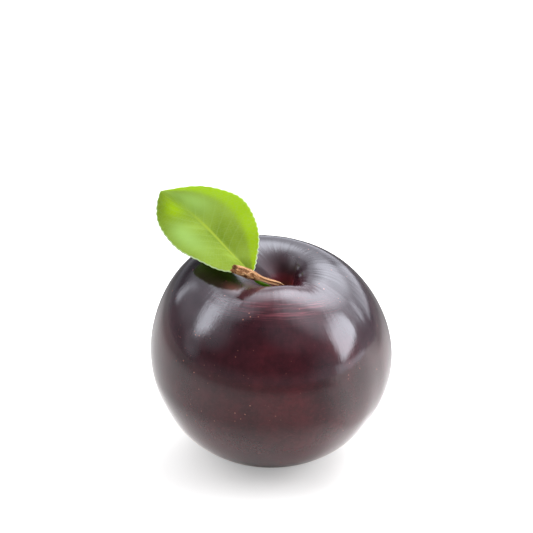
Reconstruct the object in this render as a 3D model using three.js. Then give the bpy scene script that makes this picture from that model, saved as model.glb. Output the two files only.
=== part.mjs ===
// A ripe dark plum with its woody stalk and one leaf. Millimetres, +Z up.
// The origin is the middle of the small flat spot that the fruit rests on.
// The suture furrow faces front right, and the stalk and the leaf lean to the left.
import * as THREE from 'three';

// Driving dimensions of the fruit
const FRUIT_RADIUS = 32.0;
const FRUIT_HEIGHT = 54.8;
const EQUATOR_HEIGHT = 28.3;
const FLAT_SPOT_RADIUS = 7.0;
const LIP_RADIUS = 13.6;
const CAVITY_DEPTH = 8.4;
const CAVITY_FLOOR_RADIUS = 1.9;
const CAVITY_SHIFT = 3.2;
const SOCKET_RADIUS = 1.35;
const SOCKET_DEPTH = 2.0;
const SOCKET_RIM_DROP = 0.1;
const TOP_LEAN = 0.088;

// Roundness of the fruit's profile: how far each curve's handles reach
const FOOT_REACH = 11.4;
const BELLY_REACH = 16.7;
const SHOULDER_REACH = 12.6;
const LIP_OUTER_REACH = 9.1;
const STEEP_WALL = { lipReach: 6.0, floorReach: 3.6, floorRise: 0.5 };
const GENTLE_WALL = { lipReach: 5.6, floorReach: 1.0, floorRise: 5.4 };

// The cavity's wall is gentle round this azimuth and turns steep at the front left
const GENTLE_AZIMUTH = 75;
const GENTLE_ENDS_AT = -0.75;
const GENTLE_BLEND = 0.9;

// Low places round the lip and along the suture: depth, direction and half width
const FRONT_DIP = { depth: 2.6, azimuth: -122, spread: 44 };
const SADDLE = { depth: 2.1, azimuth: -38, spread: 29 };
const SUTURE = { depth: 0.5, azimuth: -30, spread: 7 };
const SUTURE_ON_BELLY = 0.35;
const SUTURE_BEGINS = 0.5;
const DIP_BEGINS = 0.15;

// Stalk: a centre line from the socket to the cut end
const STALK_FOOT = [3.2, 0.0, 44.9];
const STALK_POINTS = [
  STALK_FOOT,
  [3.2, -0.1, 46.3],
  [2.3, -2.0, 48.7],
  [-1.6, -6.3, 52.2],
  [-5.4, -9.8, 55.5],
  [-7.3, -11.6, 57.2],
  [-9.3, -13.3, 58.7],
];
const STALK_RADIUS = 0.64;
const KNOB_RADIUS = 1.27;
const KNOB_START = 0.5;
const KNOB_PEAK = 0.76;
const CUT_END_RADIUS = 1.1;
const STALK_RIDGES = 5;
const RIDGE_HEIGHT = 0.1;
const RIDGES_BEGIN = 0.15;
const KNOB_BUMP = 0.12;
const KNOB_TWIST = 19;

// Leaf: three space curves from the base of the blade to its tip
const LEAF_BASE = [-4.8, -5.3, 53.0];
const LEAF_TIP = [-29.4, 17.2, 67.0];
const MIDRIB_HANDLES = [[-15.4, 1.6, 60.6], [-15.8, 10.8, 59.9]];
const UPPER_MARGIN_HANDLES = [[-1.0, 2.9, 60.2], [-1.6, 28.5, 69.1]];
const LOWER_MARGIN_HANDLES = [[-12.7, -23.3, 61.8], [-35.6, 10.1, 53.9]];
const BLADE_THICKNESS = 0.62;
const MIDRIB_THICKNESS = 1.1;
const MIDRIB_SPREAD = 0.07;
const MIDRIB_TAPER = 0.7;
const BLADE_CROWN = 0.9;
const MARGIN_WAVE = 0.25;
const MARGIN_WAVES = 3.5;
const TOOTH_DEPTH = 0.24;
const FULL_TOOTH_WIDTH = 6;
const FULL_CROWN_WIDTH = 12;
const TEETH_PER_MARGIN = 24;
const LEAF_STALK_RADIUS = 0.45;
const LEAF_STALK_EDGE = 0.3;
const LEAF_STALK_POINTS = [
  [0.4, -2.9, 48.2],
  [-2.1, -4.8, 50.3],
  [-3.1, -5.7, 51.2],
  [-4.1, -5.7, 52.1],
  LEAF_BASE,
];

// Fineness of the meshes
const FRUIT_SIDES = 72;
const BELLY_RINGS = 13;
const SHOULDER_RINGS = 9;
const CAVITY_RINGS = 11;
const STALK_SIDES = 15;
const STALK_RINGS = 26;
const LEAF_STALK_RINGS = 9;
const BLADE_STATIONS = 2 * TEETH_PER_MARGIN;
const BLADE_STRIPS = 4;

const TAU = 2 * Math.PI;
const toVector = (point) => new THREE.Vector3(...point);
const smooth = (t) => THREE.MathUtils.smoothstep(t, 0, 1);

// A bell-shaped weight round an azimuth, both in degrees
function bell(azimuth, place) {
  const away = THREE.MathUtils.euclideanModulo(azimuth - place.azimuth + 180, 360) - 180;
  return place.depth * Math.exp(-((away / place.spread) ** 2));
}

function flatBezier(points, steps) {
  const [a, b, c, d] = points.map(([r, z]) => new THREE.Vector2(r, z));
  return new THREE.CubicBezierCurve(a, b, c, d).getPoints(steps);
}

function closedSolid(points, triangles) {
  const geometry = new THREE.BufferGeometry();
  const positions = points.flatMap((point) => [point.x, point.y, point.z]);
  geometry.setAttribute('position', new THREE.Float32BufferAttribute(positions, 3));
  geometry.setIndex(triangles);
  geometry.computeVertexNormals();
  return geometry;
}

// A skin over closed rings of equal length, with a flat or pointed cap at each end
function loft(rings, firstCap, lastCap) {
  const sides = rings[0].length;
  const points = rings.flat();
  const triangles = [];
  for (let ring = 0; ring + 1 < rings.length; ring += 1) {
    for (let side = 0; side < sides; side += 1) {
      const a = ring * sides + side;
      const b = ring * sides + ((side + 1) % sides);
      triangles.push(a, b, b + sides);
      triangles.push(a, b + sides, a + sides);
    }
  }
  const lastStart = (rings.length - 1) * sides;
  const firstCentre = points.push(firstCap) - 1;
  const lastCentre = points.push(lastCap) - 1;
  for (let side = 0; side < sides; side += 1) {
    const next = (side + 1) % sides;
    triangles.push(firstCentre, next, side);
    triangles.push(lastCentre, lastStart + side, lastStart + next);
  }
  return closedSolid(points, triangles);
}

// Profile of the fruit as radius, height and stage: 0 to 1 on the belly, 1 to 2 on the
// shoulder, 2 to 3 down the cavity's wall and 3 in the socket
function fruitProfile(wall) {
  const foot = [FLAT_SPOT_RADIUS, 0];
  const equator = [FRUIT_RADIUS, EQUATOR_HEIGHT];
  const lip = [LIP_RADIUS, FRUIT_HEIGHT];
  const floorHeight = FRUIT_HEIGHT - CAVITY_DEPTH;
  const floor = [CAVITY_FLOOR_RADIUS, floorHeight];
  const belly = [foot, [foot[0] + FOOT_REACH, 0], [equator[0], equator[1] - BELLY_REACH], equator];
  const overLip = [lip[0] + LIP_OUTER_REACH, lip[1]];
  const shoulder = [equator, [equator[0], equator[1] + SHOULDER_REACH], overLip, lip];
  const aboveFloor = [floor[0] + wall.floorReach, floorHeight + wall.floorRise];
  const cavity = [lip, [lip[0] - wall.lipReach, lip[1]], aboveFloor, floor];
  const profile = [];
  const pieces = [[belly, BELLY_RINGS], [shoulder, SHOULDER_RINGS], [cavity, CAVITY_RINGS]];
  pieces.forEach(([curve, steps], piece) => {
    flatBezier(curve, steps).forEach((point, index) => {
      if (piece === 0 || index > 0) {
        profile.push({ radius: point.x, height: point.y, stage: piece + index / steps });
      }
    });
  });
  profile.push({ radius: SOCKET_RADIUS, height: floorHeight - SOCKET_RIM_DROP, stage: 3 });
  profile.push({ radius: SOCKET_RADIUS, height: floorHeight - SOCKET_DEPTH, stage: 3 });
  return profile;
}

// How gentle the cavity's wall is at an azimuth: 0 is steep, 1 is gentle
function gentleness(azimuth) {
  const facing = Math.cos(THREE.MathUtils.degToRad(azimuth - GENTLE_AZIMUTH));
  return smooth((facing - GENTLE_ENDS_AT) / GENTLE_BLEND);
}

// A point of the fruit's skin: the profile turned round, then leant, dipped and furrowed
function skinPoint(steep, gentle, azimuth) {
  const angle = THREE.MathUtils.degToRad(azimuth);
  const { stage } = steep;
  const radius = THREE.MathUtils.lerp(steep.radius, gentle.radius, gentleness(azimuth));
  const height = THREE.MathUtils.lerp(steep.height, gentle.height, gentleness(azimuth));
  const inCavity = smooth(stage - 2);
  const nearLip = stage <= 2 ? smooth((stage - 1 - DIP_BEGINS) / (1 - DIP_BEGINS)) : 1 - inCavity;
  const furrowShare = (SUTURE_ON_BELLY + (1 - SUTURE_ON_BELLY) * nearLip) * smooth(stage / SUTURE_BEGINS);
  const furrow = bell(azimuth, SUTURE) * furrowShare * (1 - inCavity);
  const across = (radius - furrow) * Math.cos(angle);
  const along = (radius - furrow) * Math.sin(angle);
  const lean = TOP_LEAN * across * (height / FRUIT_HEIGHT) ** 2;
  const dip = (bell(azimuth, FRONT_DIP) + bell(azimuth, SADDLE)) * nearLip;
  return new THREE.Vector3(across + CAVITY_SHIFT * inCavity, along, height - lean - dip);
}

function fruitGeometry() {
  const gentle = fruitProfile(GENTLE_WALL);
  const rings = fruitProfile(STEEP_WALL).map((place, index) => {
    const ring = [];
    for (let side = 0; side < FRUIT_SIDES; side += 1) {
      ring.push(skinPoint(place, gentle[index], (360 * side) / FRUIT_SIDES));
    }
    return ring;
  });
  const socketFloor = new THREE.Vector3();
  rings.at(-1).forEach((point) => socketFloor.add(point));
  socketFloor.divideScalar(FRUIT_SIDES);
  return loft(rings, new THREE.Vector3(0, 0, 0), socketFloor);
}

// Radius of the stalk along its length, from 0 at the foot to 1 at the cut end
function stalkRadius(along) {
  if (along < KNOB_START) {
    return STALK_RADIUS;
  }
  if (along < KNOB_PEAK) {
    const swelling = smooth((along - KNOB_START) / (KNOB_PEAK - KNOB_START));
    return THREE.MathUtils.lerp(STALK_RADIUS, KNOB_RADIUS, swelling);
  }
  const narrowing = smooth((along - KNOB_PEAK) / (1 - KNOB_PEAK));
  return THREE.MathUtils.lerp(KNOB_RADIUS, CUT_END_RADIUS, narrowing);
}

function stalkGeometry() {
  const path = new THREE.CatmullRomCurve3(STALK_POINTS.map(toVector), false, 'centripetal');
  const frames = path.computeFrenetFrames(STALK_RINGS, false);
  const rings = [];
  for (let ring = 0; ring <= STALK_RINGS; ring += 1) {
    const along = ring / STALK_RINGS;
    const centre = path.getPointAt(along);
    const knobShare = smooth((along - KNOB_START) / (KNOB_PEAK - KNOB_START));
    const ridgeShare = smooth(along / RIDGES_BEGIN);
    const points = [];
    for (let side = 0; side < STALK_SIDES; side += 1) {
      const turn = (TAU * side) / STALK_SIDES;
      const ridge = RIDGE_HEIGHT * ridgeShare * Math.cos(STALK_RIDGES * turn);
      const bump = KNOB_BUMP * knobShare * Math.cos(2 * turn + KNOB_TWIST * along);
      const radius = stalkRadius(along) + ridge + bump;
      points.push(centre.clone()
        .addScaledVector(frames.normals[ring], radius * Math.cos(turn))
        .addScaledVector(frames.binormals[ring], radius * Math.sin(turn)));
    }
    rings.push(points);
  }
  return loft(rings, path.getPointAt(0), path.getPointAt(1));
}

function spaceBezier(handles) {
  const [first, second] = handles.map(toVector);
  return new THREE.CubicBezierCurve3(toVector(LEAF_BASE), first, second, toVector(LEAF_TIP));
}

// One section of the leaf: the upper face from margin to margin, then the lower face back
function leafSection(middle, lowerEdge, upperEdge, halfThickness, crown) {
  const top = [];
  const bottom = [];
  for (let strip = -BLADE_STRIPS; strip <= BLADE_STRIPS; strip += 1) {
    const share = Math.abs(strip) / BLADE_STRIPS;
    const edge = strip < 0 ? lowerEdge : upperEdge;
    const centre = middle.point.clone().lerp(edge, share);
    centre.addScaledVector(middle.normal, crown(share, Math.sign(strip)));
    const half = halfThickness(share);
    top.push(centre.clone().addScaledVector(middle.normal, half));
    bottom.push(centre.clone().addScaledVector(middle.normal, -half));
  }
  return [...top, ...bottom.reverse()];
}

// The leaf stalk's round section, with the same number of points as a section of the blade
function leafStalkSection(point, normal, widthWay) {
  const reach = LEAF_STALK_RADIUS;
  const middle = { point, normal };
  const lowerEdge = point.clone().addScaledVector(widthWay, -reach);
  const upperEdge = point.clone().addScaledVector(widthWay, reach);
  const round = (share) => reach * Math.max(LEAF_STALK_EDGE, Math.sqrt(1 - share * share));
  return leafSection(middle, lowerEdge, upperEdge, round, () => 0);
}

function bladeStation(station, curves) {
  const along = station / BLADE_STATIONS;
  const point = curves.midrib.getPoint(along);
  const lowerEdge = curves.lower.getPoint(along);
  const upperEdge = curves.upper.getPoint(along);
  const heading = curves.midrib.getTangent(along);
  const across = upperEdge.clone().sub(lowerEdge);
  const width = across.length();
  const normal = heading.clone().cross(across).normalize().negate();
  const tooth = (station % 2) * TOOTH_DEPTH * Math.min(1, width / FULL_TOOTH_WIDTH);
  lowerEdge.lerp(point, tooth / Math.max(width / 2, tooth));
  upperEdge.lerp(point, tooth / Math.max(width / 2, tooth));
  return { along, point, lowerEdge, upperEdge, normal, width };
}

function leafGeometry() {
  const curves = {
    midrib: spaceBezier(MIDRIB_HANDLES),
    lower: spaceBezier(LOWER_MARGIN_HANDLES),
    upper: spaceBezier(UPPER_MARGIN_HANDLES),
  };
  const rings = [];
  const firstBlade = bladeStation(1, curves);
  const stalkPath = new THREE.CatmullRomCurve3(LEAF_STALK_POINTS.map(toVector), false, 'centripetal');
  for (let ring = 0; ring < LEAF_STALK_RINGS; ring += 1) {
    const along = ring / LEAF_STALK_RINGS;
    const heading = stalkPath.getTangentAt(along);
    const widthWay = firstBlade.upperEdge.clone().sub(firstBlade.lowerEdge);
    widthWay.addScaledVector(heading, -heading.dot(widthWay)).normalize();
    const normal = widthWay.clone().cross(heading).normalize();
    rings.push(leafStalkSection(stalkPath.getPointAt(along), normal, widthWay));
  }
  for (let station = 1; station < BLADE_STATIONS; station += 1) {
    const place = bladeStation(station, curves);
    const ribHeight = (MIDRIB_THICKNESS - BLADE_THICKNESS) * (1 - place.along) ** MIDRIB_TAPER;
    const rib = (share) => ribHeight * Math.exp(-((share / MIDRIB_SPREAD) ** 2));
    const half = (share) => (BLADE_THICKNESS + rib(share)) / 2;
    const room = Math.min(1, place.width / FULL_CROWN_WIDTH);
    const wave = MARGIN_WAVE * room;
    const crown = (share, side) => BLADE_CROWN * room * share * (1 - share) * 2
      + wave * share * share * Math.sin(TAU * MARGIN_WAVES * place.along + side);
    rings.push(leafSection(place, place.lowerEdge, place.upperEdge, half, crown));
  }
  return loft(rings, toVector(LEAF_STALK_POINTS[0]), toVector(LEAF_TIP));
}

function piece(name, geometry, color, roughness) {
  const mesh = new THREE.Mesh(geometry, new THREE.MeshStandardMaterial({ color, roughness, metalness: 0 }));
  mesh.name = name;
  return mesh;
}

const plum = new THREE.Group();
plum.add(piece('fruit', fruitGeometry(), 0x3a1a22, 0.25));
plum.add(piece('stem', stalkGeometry(), 0xa0734a, 0.75));
plum.add(piece('leaf', leafGeometry(), 0x8fb83a, 0.5));

export default plum;
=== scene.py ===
"""A ripe dark plum with its woody stalk and one leaf, on a plain pale floor.

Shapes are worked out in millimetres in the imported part's frame, and become metres when a mesh is made.
"""
import math

import bpy
import numpy as np
from mathutils import Matrix, Vector


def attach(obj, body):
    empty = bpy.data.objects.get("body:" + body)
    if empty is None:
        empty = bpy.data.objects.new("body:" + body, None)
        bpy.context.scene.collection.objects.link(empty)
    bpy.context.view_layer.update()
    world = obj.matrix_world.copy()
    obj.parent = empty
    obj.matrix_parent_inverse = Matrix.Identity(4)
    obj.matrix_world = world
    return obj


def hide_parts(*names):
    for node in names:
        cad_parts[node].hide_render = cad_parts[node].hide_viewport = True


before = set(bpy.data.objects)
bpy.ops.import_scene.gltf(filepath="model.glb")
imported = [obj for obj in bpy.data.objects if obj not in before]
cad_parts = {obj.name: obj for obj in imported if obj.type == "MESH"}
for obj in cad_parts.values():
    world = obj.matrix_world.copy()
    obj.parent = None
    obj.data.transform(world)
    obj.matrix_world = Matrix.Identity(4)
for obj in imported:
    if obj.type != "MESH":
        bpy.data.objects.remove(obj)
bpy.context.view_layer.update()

MM = 0.001
TAU = 2 * math.pi
SEED = 7

# The fruit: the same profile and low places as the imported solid
FRUIT_RADIUS = 32.0
FRUIT_HEIGHT = 54.8
EQUATOR_HEIGHT = 28.3
FLAT_SPOT_RADIUS = 7.0
LIP_RADIUS = 13.6
CAVITY_DEPTH = 8.4
CAVITY_FLOOR_RADIUS = 1.9
CAVITY_SHIFT = 3.2
SOCKET_RADIUS = 1.35
SOCKET_DEPTH = 2.0
SOCKET_RIM_DROP = 0.1
TOP_LEAN = 0.088
FOOT_REACH = 11.4
BELLY_REACH = 16.7
SHOULDER_REACH = 12.6
LIP_OUTER_REACH = 9.1
# The cavity's walls: handle at the lip, then the handle's reach and rise at the floor
STEEP_WALL = (6.0, 3.6, 0.5)
GENTLE_WALL = (5.6, 1.0, 5.4)
GENTLE_AZIMUTH = 75
GENTLE_ENDS_AT = -0.75
GENTLE_BLEND = 0.9
# Low places round the lip and along the suture: depth, azimuth and half width
FRONT_DIP = (2.6, -122, 44)
SADDLE = (2.1, -38, 29)
SUTURE = (0.5, -30, 7)
SUTURE_ON_BELLY = 0.35
SUTURE_BEGINS = 0.5
DIP_BEGINS = 0.15

# The stalk's and the leaf's lines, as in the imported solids
STALK_POINTS = [(3.2, 0.0, 44.9), (3.2, -0.1, 46.3), (2.3, -2.0, 48.7), (-1.6, -6.3, 52.2),
                (-5.4, -9.8, 55.5), (-7.3, -11.6, 57.2), (-9.3, -13.3, 58.7)]
STALK_RADIUS = 0.64
KNOB_RADIUS = 1.27
KNOB_START = 0.5
KNOB_PEAK = 0.76
CUT_END_RADIUS = 1.1
LEAF_BASE = (-4.8, -5.3, 53.0)
LEAF_TIP = (-29.4, 17.2, 67.0)
MIDRIB_HANDLES = ((-15.4, 1.6, 60.6), (-15.8, 10.8, 59.9))
UPPER_MARGIN_HANDLES = ((-1.0, 2.9, 60.2), (-1.6, 28.5, 69.1))
LOWER_MARGIN_HANDLES = ((-12.7, -23.3, 61.8), (-35.6, 10.1, 53.9))
LEAF_STALK_POINTS = [(0.4, -2.9, 48.2), (-2.1, -4.8, 50.3), (-3.1, -5.7, 51.2), (-4.1, -5.7, 52.1),
                     LEAF_BASE]
LEAF_STALK_RADIUS = 0.45
BLADE_THICKNESS = 0.26
MIDRIB_THICKNESS = 0.8
BLADE_CROWN = 0.9
MARGIN_WAVE = 0.25
MARGIN_WAVES = 3.5
TOOTH_DEPTH = 0.17
TEETH_PER_MARGIN = 24

# The camera that took the picture, worked out from the fruit's outline
IMAGE_SIDE = 533
VIEW_ELEVATION = 28.5
VIEW_DISTANCE = 430.0
FOCAL_PIXELS = 1617.7
FRUIT_CENTRE_PIXEL = (271.3, 353.8)
FRUIT_CENTRE_HEIGHT = 27.4


def smooth(t):
    """Rises smoothly from 0 to 1 as t does."""
    t = np.clip(t, 0.0, 1.0)
    return t * t * (3 - 2 * t)


def rise(values, start, length):
    """Rises smoothly from 0 at the start to 1 a length later."""
    return smooth((values - start) / length)


def hump(values, middle, spread):
    """Is 1 at the middle and fades out on both sides of it."""
    return np.exp(-((values - middle) / spread) ** 2)


def bell(degrees, place):
    """A hump round an azimuth. The place is its height, its azimuth and its spread."""
    depth, centre, spread = place
    away = (degrees - centre + 180) % 360 - 180
    return depth * hump(away, 0, spread)


def bezier(points, t):
    a, b, c, d = (np.asarray(p, float) for p in points)
    t = np.asarray(t, float)[..., None]
    s = 1 - t
    return s ** 3 * a + 3 * s * s * t * b + 3 * s * t * t * c + t ** 3 * d


def bezier_heading(points, t):
    a, b, c, d = (np.asarray(p, float) for p in points)
    t = np.asarray(t, float)[..., None]
    s = 1 - t
    way = s * s * (b - a) + 2 * s * t * (c - b) + t * t * (d - c)
    return way / np.linalg.norm(way, axis=-1, keepdims=True)


def unit(vectors):
    return vectors / np.linalg.norm(vectors, axis=-1, keepdims=True)


STEPS_PER_SPAN = 40


def through(points, count):
    """Evenly spaced points on a smooth curve through the given ones (centripetal Catmull-Rom)."""
    p = np.array(points, float)
    p = np.vstack([2 * p[0] - p[1], p, 2 * p[-1] - p[-2]])
    dense = []
    for k in range(1, len(p) - 2):
        knots = [0.0]
        for j in range(3):
            knots.append(knots[-1] + np.linalg.norm(p[k + j] - p[k + j - 1]) ** 0.5)
        t = np.linspace(knots[1], knots[2], STEPS_PER_SPAN, endpoint=False)[:, None]
        a = [(knots[j + 1] - t) / (knots[j + 1] - knots[j]) * p[k + j - 1]
             + (t - knots[j]) / (knots[j + 1] - knots[j]) * p[k + j] for j in range(3)]
        b = [(knots[j + 2] - t) / (knots[j + 2] - knots[j]) * a[j]
             + (t - knots[j]) / (knots[j + 2] - knots[j]) * a[j + 1] for j in range(2)]
        span = knots[2] - knots[1]
        dense.append((knots[2] - t) / span * b[0] + (t - knots[1]) / span * b[1])
    dense = np.vstack(dense + [p[-2][None]])
    run = np.concatenate([[0], np.cumsum(np.linalg.norm(np.diff(dense, axis=0), axis=1))])
    where = np.linspace(0, run[-1], count)
    return np.stack([np.interp(where, run, dense[:, k]) for k in range(3)], -1)


def carried_frames(line):
    """A normal and a binormal at each point of a line, carried along it without twist."""
    heading = unit(np.gradient(line, axis=0))
    normals = []
    normal = unit(np.cross(heading[0], (0.0, 1.0, 0.3)))
    for way in heading:
        normal = unit(normal - way * np.dot(way, normal))
        normals.append(normal)
    normals = np.array(normals)
    return normals, np.cross(heading, normals)


def mesh_object(name, points, faces, material, attributes=None, smooth_faces=True):
    """A new object from points in millimetres. Each attribute has a value or a vector at each point."""
    mesh = bpy.data.meshes.new(name)
    mesh.from_pydata([tuple(p) for p in points * MM], [], faces)
    if smooth_faces:
        mesh.shade_smooth()
    for key, values in (attributes or {}).items():
        kind, field = ("FLOAT_VECTOR", "vector") if values.ndim == 2 else ("FLOAT", "value")
        layer = mesh.attributes.new(key, kind, "POINT")
        layer.data.foreach_set(field, values.astype(np.float32).ravel())
    mesh.validate()
    mesh.materials.append(material)
    thing = bpy.data.objects.new(name, mesh)
    bpy.context.scene.collection.objects.link(thing)
    return thing


def loft_faces(rings, sides):
    """Quads over closed rings, and a fan at each end to the two points after the last ring."""
    faces = []
    for ring in range(rings - 1):
        start = ring * sides
        for side in range(sides):
            after = (side + 1) % sides
            faces.append((start + side, start + after, start + sides + after, start + sides + side))
    last = (rings - 1) * sides
    first_centre = rings * sides
    for side in range(sides):
        after = (side + 1) % sides
        faces.append((first_centre, after, side))
        faces.append((first_centre + 1, last + side, last + after))
    return faces


class Nodes:
    """A short way to write the node tree of a material or of the world."""

    def __init__(self, owner):
        owner.use_nodes = True
        self.tree = owner.node_tree
        self.shader = self.tree.nodes.get("Principled BSDF")

    def add(self, kind, values=None, **settings):
        node = self.tree.nodes.new(kind)
        for key, value in settings.items():
            setattr(node, key, value)
        for key, value in (values or {}).items():
            self.put(node.inputs[key], value)
        return node

    def put(self, socket, value):
        if isinstance(value, bpy.types.NodeSocket):
            self.tree.links.new(value, socket)
        else:
            socket.default_value = value

    def attribute(self, name, output="Fac"):
        return self.add("ShaderNodeAttribute", attribute_name=name).outputs[output]

    def math(self, operation, a, b=0.0, third=0.0):
        node = self.add("ShaderNodeMath", {0: a, 1: b, 2: third}, operation=operation)
        return node.outputs[0]

    def ramp(self, value, *stops, smooth_steps=False):
        node = self.add("ShaderNodeValToRGB", {"Fac": value})
        if smooth_steps:
            node.color_ramp.interpolation = "EASE"
        elements = node.color_ramp.elements
        while len(elements) < len(stops):
            elements.new(1.0)
        for element, (place, colour) in zip(elements, stops):
            element.position = place
            channels = colour if hasattr(colour, "__len__") else (colour, colour, colour)
            element.color = (*channels, 1.0)
        return node.outputs["Color"]

    def mix(self, share, a, b, blend="MIX"):
        node = self.add("ShaderNodeMix", data_type="RGBA", blend_type=blend)
        for socket, value in zip((node.inputs[0], node.inputs[6], node.inputs[7]), (share, a, b)):
            if isinstance(value, tuple) and len(value) == 3:
                value = (*value, 1.0)
            self.put(socket, value)
        return node.outputs[2]

    def tint(self, colour, mask, share, tone):
        """Takes a colour towards a tone: as far as the share says, where the mask is 1."""
        return self.mix(self.math("MULTIPLY", mask, share), colour, tone)

    def scaled(self, vector, scale):
        return self.add("ShaderNodeMapping", {"Vector": vector, "Scale": scale}).outputs[0]

    def noise(self, vector, scale, detail=3.0, roughness=0.5):
        values = {"Vector": vector, "Scale": scale, "Detail": detail, "Roughness": roughness}
        return self.add("ShaderNodeTexNoise", values).outputs["Fac"]

    def bump(self, height, strength, distance, below=None):
        """Relief from a pattern. The distance is its height in metres; it can lie over another relief."""
        values = {"Strength": strength, "Distance": distance, "Height": height}
        if below is not None:
            values["Normal"] = below
        return self.add("ShaderNodeBump", values).outputs[0]

    def stripes(self, value, count, *stops):
        """Lines across a value, so many from 0 to 1. The stops lead outwards from a line's middle."""
        phase = self.math("FRACT", self.math("MULTIPLY", value, count))
        return self.ramp(self.math("ABSOLUTE", self.math("SUBTRACT", phase, 0.5)), *stops)

    def fade(self, value, low, high, at_low, at_high):
        """Goes smoothly from one number to another as the value goes from low to high."""
        values = {"Value": value, "From Min": low, "From Max": high, "To Min": at_low, "To Max": at_high}
        return self.add("ShaderNodeMapRange", values, interpolation_type="SMOOTHSTEP").outputs[0]


# The skin. Each stop of a ramp is a place, and a colour or a number. A tint is a share and a colour.
# A stretch is the noise's scale round the fruit, given twice, and then up it. A relief is a strength
# and a height in metres.

SKIN_CLOUDS = ((0.34, (0.020, 0.0042, 0.007)), (0.5, (0.047, 0.0070, 0.0105)),
               (0.66, (0.094, 0.0115, 0.0155)))
CLOUD_SCALE = 55.0
STREAK_STRETCH = (9.0, 9.0, 1.2)
STREAK_RED = (0.35, (0.058, 0.0085, 0.012))
SIDE_PAINTED_SHADE = (0.8, (0.013, 0.0042, 0.0075))
SHOULDER_DARK = (0.8, (0.010, 0.0045, 0.0075))
CAVITY_SHARE = 0.85
CAVITY_COLOURS = ((0.0, (0.026, 0.009, 0.011)), (0.5, (0.045, 0.010, 0.013)), (1.0, (0.14, 0.018, 0.024)))
LOW_PAINTED_SHADE = (0.80, (0.016, 0.0055, 0.0085))
MOTTLE_SCALE = 300.0
MOTTLE = ((0.40, 0.84), (0.60, 1.18))
FLECK_STRETCH = (30.0, 30.0, 110.0)
FLECKS = ((0.55, 0.0), (0.68, 1.0))
FLECK_RED = (0.090, 0.015, 0.018)
BELLY_STREAK_STRETCH = (22.0, 22.0, 4.0)
BELLY_STREAKS = ((0.46, 0.0), (0.70, 0.35))
BELLY_STREAK_RED = (0.085, 0.014, 0.018)
RING_LINE_STRETCH = (1.2, 1.2, 95.0)
RING_LINES = ((0.54, 0.0), (0.60, 1.0), (0.66, 0.0))
RING_PINK = (0.9, (0.22, 0.050, 0.062))
KNOB_REFLECTION_PINK = (0.17, 0.050, 0.040)
DULL_BROWN = (0.675, (0.120, 0.055, 0.048))
DOT_CELLS = 800.0
DOT_FADE = ((0.0, 1.0), (0.10, 0.8), (0.18, 0.0))
DOTS_LARGER_LOW = 0.08
DOTS_LEFT_OUT = 0.4
DOT_GROUP_SCALE = 130.0
DOT_GROUPS = ((0.53, 0.0), (0.66, 1.0))
DOTS_CLOSER_LOW = 0.36
DOT_PALE = (0.9, (0.40, 0.15, 0.10))
SCAR_SCALE = 1500.0
SCAR_PATCHES = ((0.3, 0.35), (0.6, 1.0))
SCAR_BROWN = (0.21, 0.11, 0.035)
BLOOM_STRETCH = (9.0, 9.0, 2.0)
SKIN_ROUGHNESS = ((0.3, 0.06), (0.7, 0.12))
DULL_ROUGHNESS = (0.9, (0.45, 0.45, 0.45))
SCAR_ROUGHNESS = (0.8, 0.8, 0.8)
SPECULAR, SPECULAR_LOST_INSIDE = 0.5, 0.32
COAT, COAT_ROUGHNESS, COAT_IOR = 0.1, 0.34, 1.3
SKIN_IOR = 1.5
PORE_SCALE = 1400.0
PORES = (0.05, 0.0002)
STRIAE_STRETCH = (26.0, 26.0, 3.0)
STRIAE = (0.07, 0.0003)


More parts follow.
